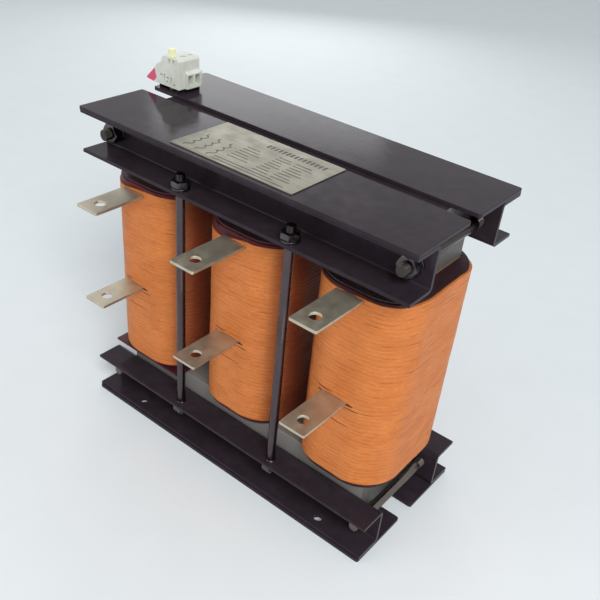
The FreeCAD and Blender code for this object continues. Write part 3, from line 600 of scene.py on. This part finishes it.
class REACTOR_OT_core(bpy.types.Operator):
    """Dress the yokes, limbs, air-gap spacers, formers and seat boards"""

    bl_idname = "reactor.core"
    bl_label = "Core and Insulation"

    # Share of its colour that is left at a yoke's sheared ends, which are drawn darker than its sides
    end_share = 0.42
    # Places in a yoke's list of materials
    end_face, top_face = 1, 2

    def execute(self, context):
        settings, insulation = context.scene.reactor_steel, context.scene.reactor_insulation
        steel = core_steel("Stacked electrical steel", settings.core)
        spacer = pressboard("Air-gap spacer board", insulation.spacer)
        former = pressboard("Coil former laminate", insulation.former)
        self.yokes(steel, settings)
        for coil in COILS:
            # The board is darkened by its coil's share: painted shade
            board = pressboard(f"Varnished {coil} seat board", darker(insulation.board, END_SHADE_SHARE[coil]))
            dress(f"{coil}_limb_packets", steel, settings.edge)
            dress(f"{coil}_gap_spacers", spacer, settings.edge)
            dress(f"{coil}_coil_former", former, settings.edge / 2)
            for level in LEVELS:
                dress(f"{coil}_{level}_board", board, settings.edge)
        return {"FINISHED"}

    def yokes(self, steel, settings):
        """Both yokes with their darker ends; paint fell on the upper one between the top bars."""
        # The ends' material is the core steel drawn darker
        ends = core_steel("Varnished lamination ends", darker(settings.core, self.end_share))
        enamel = black_enamel(settings.enamel)
        for level in LEVELS:
            yoke = dress(f"{level}_yoke", steel, settings.edge)
            yoke.data.materials.append(ends)
            # Painted shade: the upper yoke's top in the narrow gap between the top bars is black enamel
            if level == "upper":
                yoke.data.materials.append(enamel)
            for face in yoke.data.polygons:
                if abs(face.normal.x) > FACING:
                    face.material_index = self.end_face
                elif level == "upper" and face.normal.z > FACING:
                    face.material_index = self.top_face


class REACTOR_OT_coils(bpy.types.Operator):
    """Dress the windings and tape each coil, with an opening for each terminal"""

    bl_idname = "reactor.coils"
    bl_label = "Taped Coils"

    # Thickness of the wrapping, and the rounding of a winding's edges
    wall, winding_edge = 2.4 * MM, 0.3 * MM
    # One turn, as shares of its height: the groove's upward side, its overhanging side and the flat
    turn_shares = (0.15, 0.05, 0.8)
    # Steps round a corner, and the cuts that divide the straight sides along X and Y
    corner_steps, side_cuts = 26, ((X, 9), (Y, 20))
    # Edges longer than this are whole straight sides
    whole_side = 10 * MM
    # Turns whose edges come this close are joined
    turn_weld = 0.01 * MM
    # Height of the tape's upper edge, which the winder pulled
    upper_edge = 6 * MM
    # For each coil: place in its plan as shares of the box, rise of the edge, reach of the pull
    uneven = {"left": ((0.1, 0.06), -5 * MM, 45 * MM),
              "middle": ((0.1, 0.06), -8 * MM, 50 * MM),
              "right": ((0.97, 0.5), 5 * MM, 60 * MM)}
    # Room round an upper terminal, and above and below a lower one
    upper_room, lower_room = (1 * MM, 0.4 * MM), 0.5 * MM
    # Creases by a lower terminal: place from its middle, then half length and half height
    creases = (((-13 * MM, 5 * MM), (11 * MM, 0.6 * MM)), ((20 * MM, -4.5 * MM), (9 * MM, 0.5 * MM)),
               ((4 * MM, -27 * MM), (16 * MM, 0.4 * MM)))
    # Depth of a slit or crease in the tape
    slit_depth = 2 * MM

    def execute(self, context):
        settings, insulation = context.scene.reactor_tape, context.scene.reactor_insulation
        left, middle = (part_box(f"{coil}_coil_wrap") for coil in COILS[:2])
        gap = abs(left[1].x + middle[0].x) / 2
        tape, lap = coil_tape(settings, gap), tape_lap(settings, gap)
        # Painted shade: the inside of each slit and crease is a dark brown
        shade = pressboard("Inside of the tape", settings.inside)
        for coil in COILS:
            # The winding is darkened by its coil's share: painted shade
            varnish = winding_varnish(f"Impregnated {coil} winding",
                                      darker(insulation.winding, END_SHADE_SHARE[coil]))
            dress(f"{coil}_winding", varnish, self.winding_edge)
            wrap = self.turns(coil, settings)
            self.roughen(wrap, settings)
            self.pull(wrap, coil)
            self.close(wrap, coil)
            for material in (tape, lap, shade):
                wrap.data.materials.append(material)
            for level in LEVELS:
                carve(wrap, self.opening(coil, level, shade, settings))
            for place, reach in self.creases:
                carve(wrap, self.crease(coil, place, reach, shade))
            hand_over(wrap, [f"{coil}_coil_wrap"], flat=False)
        return {"FINISHED"}

    def turns(self, coil, settings):
        """Turns of lapped tape, one modelled and repeated up the coil."""
        low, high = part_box(f"{coil}_coil_wrap")
        centre = (low + high) / 2
        half = (high - low) / 2
        bpy.ops.mesh.primitive_plane_add(size=2, location=(centre.x, centre.y, low.z))
        obj = bpy.context.active_object
        obj.name = f"taped_{coil}_coil"
        obj.scale = (half.x, half.y, 1)
        settle(obj)
        count = round((high.z - low.z) / settings.pitch)
        pitch = (high.z - low.z) / count
        with editing(obj):
            bpy.ops.mesh.select_all(action="SELECT")
            bpy.ops.mesh.bevel(offset=settings.corner, segments=self.corner_steps, affect="VERTICES")
            bpy.ops.mesh.select_all(action="SELECT")
            bpy.ops.mesh.delete(type="ONLY_FACE")
            for axis, cuts in self.side_cuts:
                pick("EDGE", lambda edge: edge.calc_length() > self.whole_side
                     and abs((edge.verts[0].co - edge.verts[1].co).normalized().dot(axis)) > FACING)
                bpy.ops.mesh.subdivide(number_cuts=cuts)
            bpy.ops.mesh.select_all(action="SELECT")
            rim = 1 + settings.lap / half.x, 1 + settings.lap / half.y
            widths = ((1 / rim[0], 1 / rim[1]), rim, (1, 1))
            for share, (wide, deep) in zip(self.turn_shares, widths):
                bpy.ops.mesh.extrude_edges_move(TRANSFORM_OT_translate={"value": (0, 0, share * pitch)})
                bpy.ops.transform.resize(value=(wide, deep, 1), center_override=centre)
        for face in obj.data.polygons:
            face.material_index = int(face.center.z < low.z + self.turn_shares[0] * pitch)
        modify(obj, "ARRAY", count=count, use_relative_offset=False, use_constant_offset=True,
               constant_offset_displace=(0, 0, pitch), use_merge_vertices=True,
               merge_threshold=self.turn_weld)
        return obj

    def roughen(self, obj, settings):
        """Let the turns wander and the surface swell as hand-wound tape does."""
        for name, size, strength, way in (("wander", 30 * MM, settings.sag, "Z"),
                                          ("swell", 38 * MM, settings.lumps, "NORMAL"),
                                          ("pucker", 7 * MM, settings.lumps / 2, "NORMAL")):
            cloud = bpy.data.textures.new(f"tape_{name}", "CLOUDS")
            cloud.noise_scale = size
            modify(obj, "DISPLACE", texture=cloud, texture_coords="LOCAL", direction=way,
                   strength=strength, mid_level=0.5)

    def pull(self, obj, coil):
        """Draw the tape's upper edge down, or up, where the winder left it uneven."""
        low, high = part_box(f"{coil}_coil_wrap")
        size = high - low
        share, rise, reach = self.uneven[coil]
        spot = Vector((low.x + share[0] * size.x, low.y + share[1] * size.y, high.z))
        with editing(obj):
            pick("VERT", lambda vertex: vertex.co.z > high.z - self.upper_edge
                 and (vertex.co - spot).xy.length < reach / 3)
            bpy.ops.transform.translate(value=(0, 0, rise), use_proportional_edit=True,
                                        proportional_edit_falloff="SMOOTH", proportional_size=reach)

    def close(self, obj, coil):
        """Fold both ends in to the winding and join them by an inner wall."""
        low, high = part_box(f"{coil}_coil_wrap")
        centre = (low + high) / 2
        inward = 1 - self.wall / (centre.x - low.x)
        with editing(obj):
            bpy.ops.mesh.select_mode(type="EDGE")
            bpy.ops.mesh.select_all(action="DESELECT")
            bpy.ops.mesh.select_non_manifold()
            bpy.ops.mesh.extrude_edges_move()
            bpy.ops.transform.resize(value=(inward, inward, 1), center_override=centre)
            bpy.ops.mesh.bridge_edge_loops()
            bpy.ops.mesh.select_all(action="SELECT")
            bpy.ops.mesh.normals_make_consistent(inside=False)

    def opening(self, coil, level, material, settings):
        """The tool for the slit where the tape parts round a terminal."""
        low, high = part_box(f"{coil}_{level}_terminal")
        half = (high - low) / 2
        wide, tall = self.upper_room if level == "upper" else (settings.slit, self.lower_room)
        return self.lens(coil, (low + high) / 2, (half.x + wide, half.z + tall), material)

    def crease(self, coil, place, reach, material):
        """The tool for a crease in the tape near a lower terminal."""
        low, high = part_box(f"{coil}_lower_terminal")
        return self.lens(coil, (low + high) / 2 + Vector((place[0], 0, place[1])), reach, material)

    def lens(self, coil, middle, reach, material):
        """A flat lens let into a coil's front, with this half length and half height."""
        centre = Vector((middle.x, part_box(f"{coil}_coil_wrap")[0].y, middle.z))
        tool = bar("lens", centre, Y, 1, 2 * self.slit_depth, sides=24)
        with editing(tool):
            bpy.ops.mesh.select_all(action="SELECT")
            bpy.ops.transform.resize(value=(reach[0], 1, reach[1]), center_override=centre)
        tool.data.materials.append(material)
        return tool


class REACTOR_OT_terminals(bpy.types.Operator):
    """Dress the six drilled flat-bar terminals"""

    bl_idname = "reactor.terminals"
    bl_label = "Flat-bar Terminals"

    def execute(self, context):
        settings = context.scene.reactor_bars
        tin = tinned_copper(settings.colour)
        for coil in COILS:
            for level in LEVELS:
                dress(f"{coil}_{level}_terminal", tin, settings.edge)
        return {"FINISHED"}


class REACTOR_OT_fasteners(bpy.types.Operator):
    """Model the threaded tie rods and clamp studs with their nuts and washers"""

    bl_idname = "reactor.fasteners"
    bl_label = "Rods, Studs, Nuts and Washers"

    # Share of its colour that is left on an upper stud, which is blackened
    blackened = 0.42
    # Radius of an M10 and of an M12 bore, and the rounding of a washer's edges
    rod_bore, stud_bore, washer_edge = 5 * MM, 6 * MM, 0.3 * MM
    # Depth of a thread, and the chamfer of its end inwards and outwards, as shares of its pitch
    thread_depth, end_inset, end_rise = 0.61, 0.5, 0.3
    # Steps round one turn of thread, and the distance at which two turns are joined
    thread_steps, thread_weld = 16, 0.01 * MM
    # How far the shank lies under the crests, and the share of each thread that it fills
    shank_drop, shank_reach = 0.15 * MM, 0.05
    # Height of a nut's chamfer as a share of its width
    chamfer_height = 0.06
    # The cone that chamfers a nut: its width as a share of the nut's, and its top's of its own
    cone_width, cone_top = 1.01, 0.82

    def execute(self, context):
        settings = context.scene.reactor_fasteners
        steel = blackened_steel(settings.colour)
        rod_steel = drawn_steel("Oiled drawn steel rod", settings.rod)
        studs = {"upper": drawn_steel("Blackened steel stud", darker(settings.stud, self.blackened)),
                 "lower": drawn_steel("Bare drawn steel stud", settings.stud)}
        for row in ROWS:
            for side in SIDES:
                name = f"{row}_{side}_tie_rod"
                rod = self.rod(name, Z, settings.rod_pitch, settings.rod_thread)
                hand_over(rod, [name], [rod_steel])
        for side in SIDES:
            for level in LEVELS:
                name = f"{side}_{level}_clamp_stud"
                stud = self.rod(name, Y, settings.stud_pitch, settings.stud_thread)
                hand_over(stud, [name], [studs[level]])
        for name, axis, flats, bore in (("tie_rod_nuts", Z, settings.rod_flats, self.rod_bore),
                                        ("clamp_stud_nuts", Y, settings.stud_flats, self.stud_bore)):
            hand_over(self.nuts(name, axis, flats, bore), [name], [steel])
        for name in ("tie_rod_washers", "clamp_stud_washers"):
            dress(name, steel, self.washer_edge)
        return {"FINISHED"}

    def thread(self, start, axis, radius, pitch, turns):
        """A V thread that starts at a point and runs along an axis."""
        depth = self.thread_depth * pitch
        bpy.ops.mesh.primitive_circle_add(vertices=4, radius=pitch / 2, rotation=(math.pi / 2, 0, 0))
        obj = bpy.context.active_object
        settle(obj)
        with editing(obj):
            pick("VERT", lambda vertex: vertex.co.x < -pitch / 4)
            bpy.ops.mesh.delete(type="VERT")
            bpy.ops.mesh.select_all(action="SELECT")
            bpy.ops.transform.resize(value=(2 * depth / pitch, 1, 1), center_override=(0, 0, 0))
            bpy.ops.transform.translate(value=(radius - depth, 0, 0))
        modify(obj, "SCREW", axis="Z", screw_offset=pitch, iterations=turns + 2,
               steps=self.thread_steps, render_steps=self.thread_steps, use_merge_vertices=True)
        with editing(obj):
            bpy.ops.mesh.select_all(action="SELECT")
            bpy.ops.mesh.remove_doubles(threshold=self.thread_weld)
            # The first and last turn are cut off square, and the ends filed to a small chamfer
            for height, way in ((pitch, -1), (pitch * (turns + 1), 1)):
                bpy.ops.mesh.select_all(action="SELECT")
                bpy.ops.mesh.bisect(plane_co=(0, 0, height), plane_no=(0, 0, way), use_fill=True,
                                    clear_outer=True)
                bpy.ops.mesh.inset(thickness=self.end_inset * pitch, depth=self.end_rise * pitch)
            bpy.ops.mesh.select_all(action="SELECT")
            bpy.ops.mesh.normals_make_consistent(inside=False)
        obj.rotation_euler = turn_for(axis)
        obj.location = start - axis * pitch
        return settle(obj)

    def rod(self, name, axis, pitch, length):
        """A plain bar with a thread at both ends."""
        low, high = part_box(name)
        centre = (low + high) / 2
        radius = (high - low).x / 2
        span = (high - low).dot(axis)
        foot = centre - axis * span / 2
        turns = round(length / pitch)
        shank = span - 2 * (1 - self.shank_reach) * length
        parts = [bar(f"dressed_{name}", centre, axis, radius - self.shank_drop, shank)]
        for start in (foot, foot + axis * (span - turns * pitch)):
            parts.append(self.thread(start, axis, radius, pitch, turns))
        return join(f"threaded_{name}", parts)

    def nuts(self, name, axis, flats, bore):
        """Hexagon nuts with chamfered corners, one modelled and copied to each place."""
        boxes = places(name)
        size = boxes[0][1] - boxes[0][0]
        height = size.dot(axis)
        corner = flats / math.sqrt(3)
        drop = self.chamfer_height * flats
        nut = bar(name, (0, 0, 0), Z, corner, height, sides=6)
        cone = bar("cone", (0, 0, 0), Z, corner * self.cone_width, height - 2 * drop)
        with editing(cone):
            for way in (1, -1):
                pick("FACE", lambda face: face.normal.z * way > FACING)
                bpy.ops.mesh.extrude_region_move(TRANSFORM_OT_translate={"value": (0, 0, way * drop)})
                bpy.ops.transform.resize(value=(self.cone_top, self.cone_top, 1),
                                         center_override=(0, 0, 0))
        carve(nut, cone, "INTERSECT")
        carve(nut, bar("bore", (0, 0, 0), Z, bore, 3 * height, sides=32))
        wide = max((way for way in (X, Y, Z) if way is not axis), key=size.dot)
        nut.matrix_world = self.facing(axis, wide)
        settle(nut)
        copies = [moved(copy_of(nut), (low + high) / 2) for low, high in boxes]
        bpy.data.objects.remove(nut)
        return join(f"chamfered_{name}", copies)

    def facing(self, axis, wide):
        """The turn that lays a nut along an axis with two corners along another."""
        return Matrix((wide.cross(axis), wide, axis)).transposed().to_4x4()


class REACTOR_OT_nameplate(bpy.types.Operator):
    """Model the bare nameplate with a title, ruled fields and three coil symbols"""

    bl_idname = "reactor.nameplate"
    bl_label = "Nameplate"

    # Fields of ruled lines: left end, length, first line, number of lines and their spacing in mm
    fields = ((56, 25, 19, 6, 5.6), (92, 18, 14, 8, 5.4), (113, 22, 14, 8, 5.4), (50, 86, 4, 2, 4.4))
    # Share by which the second of three lines is shorter; the third is shorter by twice as much
    shorter = 0.18
    # Title strokes: first one, number, spacing, foot and height in mm
    title = (68, 15, 4.8, 61, 7.5)
    # Coil symbols: first one, number, spacing, foot and ring radius in mm, and rings in each
    coils = (12, 3, 15, 10, 4.6, 3)
    # Rounding of the plate's edges, and how far an engraving tool stands over the plate
    edge, over = 0.15 * MM, 1 * MM

    def execute(self, context):
        settings = context.scene.reactor_nameplate
        plate = brushed_plate("Brushed bare plate", settings.colour)
        ink = moulded_plastic("Paint in the engraving", settings.ink, roughness=0.6)
        obj = ease(welded("nameplate"), self.edge)
        obj.data.materials.append(plate)
        low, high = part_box("nameplate")
        corner = Vector((low.x, low.y, high.z))
        tool = join("engraver", self.rules(corner, settings) + self.symbols(corner, settings))
        tool.data.materials.clear()
        tool.data.materials.append(ink)
        carve(obj, tool, crossing=True)
        hand_over(obj, ["nameplate"])
        return {"FINISHED"}

    def line(self, corner, settings, left, front, wide, deep):
        """One engraved line, placed from the plate's front left corner."""
        low = corner + Vector((left, front, -settings.depth))
        return block("rule", low, low + Vector((wide, deep, settings.depth + self.over)))

    def rules(self, corner, settings):
        """The strokes of the title and the fields of ruled lines."""
        lines = []
        start, count, step, foot, tall = self.title
        for place in range(count):
            lines.append(self.line(corner, settings, (start + place * step) * MM, foot * MM,
                                   2 * settings.line, tall * MM))
        for left, reach, first, count, step in self.fields:
            for row in range(count):
                length = reach * (1 - self.shorter * (row % 3))
                lines.append(self.line(corner, settings, left * MM, (first + row * step) * MM,
                                       length * MM, settings.line))
        return lines

    def symbols(self, corner, settings):
        """Chokes drawn side by side, each a chain of half rings between two leads."""
        first, count, step, foot, radius, rings = self.coils
        ring, wide = radius * MM, settings.line
        parts = []
        for place in range(count):
            across, start = (first + step * place) * MM, foot * MM
            for loop in range(rings):
                centre = corner + Vector((across, start + (2 * loop + 1) * ring, 0))
                half = bar("loop", centre, Z, ring + wide / 2, 2 * settings.depth, sides=32)
                carve(half, bar("hollow", centre, Z, ring - wide / 2, 3 * self.over, sides=32))
                reach = Vector((2 * ring, 2 * ring, self.over))
                keep = block("keep", centre - Vector((0, reach.y, reach.z)), centre + reach)
                parts.append(carve(half, keep, "INTERSECT"))
            for front in (start - ring, start + 2 * rings * ring):
                parts.append(self.line(corner, settings, across - wide / 2, front, wide, ring))
        return parts


class REACTOR_OT_rail_terminal(bpy.types.Operator):
    """Dress the rail, its screws and the moulded terminals with their lever and tag"""

    bl_idname = "reactor.rail_terminal"
    bl_label = "Rail Terminals"

    # Recesses in the end clamp's face: left, foot, width and height in mm
    recesses = ((24, 25.5, 2.8, 4.6), (30.5, 25.5, 2.8, 4.6), (11, 9.5, 4, 2), (16.5, 6, 2, 6.5),
                (20, 8, 5, 2), (20.5, 4, 2.4, 2), (27, 5, 2, 6), (31, 3, 4, 1.6))
    # Depth of a recess, and how far its tool stands before the face, in mm
    recess_depth, before = 2, 1

    def execute(self, context):
        settings = context.scene.reactor_rail
        plastic = moulded_plastic("Grey moulded polyamide", settings.plastic)
        zinc = brushed_plate("Zinc-plated steel", settings.zinc)
        red = moulded_plastic("Red moulded lever", settings.lever, roughness=0.3)
        cream = moulded_plastic("Pale marker tag", settings.tag, roughness=0.35)
        for name in ("near_terminal_slice", "far_terminal_slice", "terminal_end_plate"):
            dress(name, plastic, settings.edge)
        clamp = ease(welded("end_clamp"), settings.edge)
        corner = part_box("end_clamp")[0]
        for left, foot, wide, tall in self.recesses:
            start = corner + Vector((left, -self.before, foot)) * MM
            size = Vector((wide, self.before + self.recess_depth, tall)) * MM
            carve(clamp, block("recess", start, start + size))
        hand_over(clamp, ["end_clamp"], [plastic])
        enamel = black_enamel(context.scene.reactor_steel.enamel)
        fine = settings.edge / 4
        # The rail is black enamel: its own dark colour, and painted shade for the dark band under the
        # terminals
        dress("mounting_rail", enamel, fine)
        dress("rail_screws", zinc, fine)
        dress("terminal_screws", zinc, fine)
        dress("release_lever", red, settings.edge)
        dress("marker_tag", cream, settings.edge)
        return {"FINISHED"}


class REACTOR_OT_stage(bpy.types.Operator):
    """Set up the floor, the soft light and the camera"""

    bl_idname = "reactor.stage"
    bl_label = "Stage"

    # Radius of the floor in metres, and the size of the faint clouds on it
    floor_radius, floor_cloud = 9, 60 * MM
    # Strength of the room as a light, and as the camera and the reflections see it
    room_light, room_seen = 0.5, 0.95
    # Soft boxes: name, place in metres, power in watts and width in metres
    lamps = (("key", (2.6, -2.0, 3.2), 150, 1.9),
             ("fill", (-1.6, -1.6, 1.0), 7, 1.2),
             ("rear", (-1.27, 1.51, 0.72), 4.2, 0.8))
    # Place that the soft boxes face
    target = Vector((0, 0, 0.2))
    # Width of the camera's sensor in mm, and the picture's shift in it as shares of that width
    sensor, shift = 36, (-0.0027, 0.059)

    def execute(self, context):
        settings = context.scene.reactor_stage
        context.scene.view_settings.view_transform = "Standard"
        self.floor(settings)
        self.room(context, settings)
        self.soft_boxes(context)
        self.camera(context, settings)
        return {"FINISHED"}

    def floor(self, settings):
        """A pale matt floor that shows pale to the eye and keeps the shadow."""
        bpy.ops.mesh.primitive_circle_add(vertices=96, radius=self.floor_radius, fill_type="NGON")
        floor = bpy.context.active_object
        floor.name = "studio_floor"
        made, tree, shader, place = new_material("Matt studio floor", {"Roughness": 0.8})
        paper = grain(tree, place, (self.floor_cloud,) * 3)
        tone = two_tone(tree, paper, darker(settings.floor, 0.985), opaque(settings.floor))
        finish(tree, shader, tone)
        floor.data.materials.append(made)

    def room(self, context, settings):
        """A pale room, seen brighter than the light it gives."""
        world = bpy.data.worlds.new("Pale studio")
        context.scene.world = world
        world.use_nodes = True
        tree = world.node_tree
        tree.nodes.clear()
        path = add_node(tree, "ShaderNodeLightPath", {}, {})
        seen = path.outputs["Is Camera Ray"]
        for ray in ("Is Glossy Ray", "Is Transmission Ray"):
            seen = add_node(tree, "ShaderNodeMath", {"operation": "MAXIMUM"},
                            {0: seen, 1: path.outputs[ray]}).outputs[0]
        strength = add_node(tree, "ShaderNodeMapRange", {},
                            {"Value": seen, "To Min": self.room_light, "To Max": self.room_seen})
        backdrop = add_node(tree, "ShaderNodeBackground", {},
                            {"Color": opaque(settings.room), "Strength": strength.outputs[0]})
        add_node(tree, "ShaderNodeOutputWorld", {}, {"Surface": backdrop.outputs[0]})

    def soft_boxes(self, context):
        """Three soft boxes that face the reactor."""
        for name, place, power, size in self.lamps:
            bpy.ops.object.light_add(type="AREA", location=place)
            lamp = context.active_object
            lamp.name = f"{name}_softbox"
            lamp.data.energy = power
            lamp.data.size = size
            aim = self.target - Vector(place)
            lamp.rotation_euler = aim.to_track_quat("-Z", "Y").to_euler()

    def camera(self, context, settings):
        """The photograph's viewpoint."""
        bpy.ops.object.camera_add(location=settings.eye, rotation=settings.gaze)
        camera = context.active_object
        camera.name = "photo_camera"
        camera.data.lens = settings.lens
        camera.data.sensor_width = self.sensor
        camera.data.shift_x, camera.data.shift_y = self.shift
        context.scene.camera = camera


# Panel and start


PIECES = (REACTOR_OT_steelwork, REACTOR_OT_core, REACTOR_OT_coils, REACTOR_OT_terminals,
          REACTOR_OT_fasteners, REACTOR_OT_nameplate, REACTOR_OT_rail_terminal, REACTOR_OT_stage)


class REACTOR_PT_pieces(bpy.types.Panel):
    """Lists the pieces of the reactor and their settings"""

    bl_idname = "REACTOR_PT_pieces"
    bl_label = "Filter Reactor"
    bl_space_type = "VIEW_3D"
    bl_region_type = "UI"
    bl_category = "Reactor"

    def draw(self, context):
        for piece in PIECES:
            self.layout.operator(piece.bl_idname)
        for name, group in SETTINGS.items():
            column = self.layout.column(heading=group.__doc__)
            for setting in group.__annotations__:
                column.prop(getattr(context.scene, name), setting)


def register():
    """Register the settings, operators and panel."""
    for group in (*SETTINGS.values(), *PIECES, REACTOR_PT_pieces):
        bpy.utils.register_class(group)
    for name, group in SETTINGS.items():
        setattr(bpy.types.Scene, name, bpy.props.PointerProperty(type=group))


def unregister():
    """Take the settings, operators and panel away again."""
    for name in SETTINGS:
        delattr(bpy.types.Scene, name)
    for group in (REACTOR_PT_pieces, *reversed(PIECES), *reversed(SETTINGS.values())):
        bpy.utils.unregister_class(group)


def main():
    """Build every piece in order and record the size before and after."""
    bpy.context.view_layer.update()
    register()
    bpy.ops.reactor.steelwork()
    bpy.ops.reactor.core()
    bpy.ops.reactor.coils()
    bpy.ops.reactor.terminals()
    bpy.ops.reactor.fasteners()
    bpy.ops.reactor.nameplate()
    bpy.ops.reactor.rail_terminal()
    bpy.ops.reactor.stage()


if __name__ == "__main__":
    main()
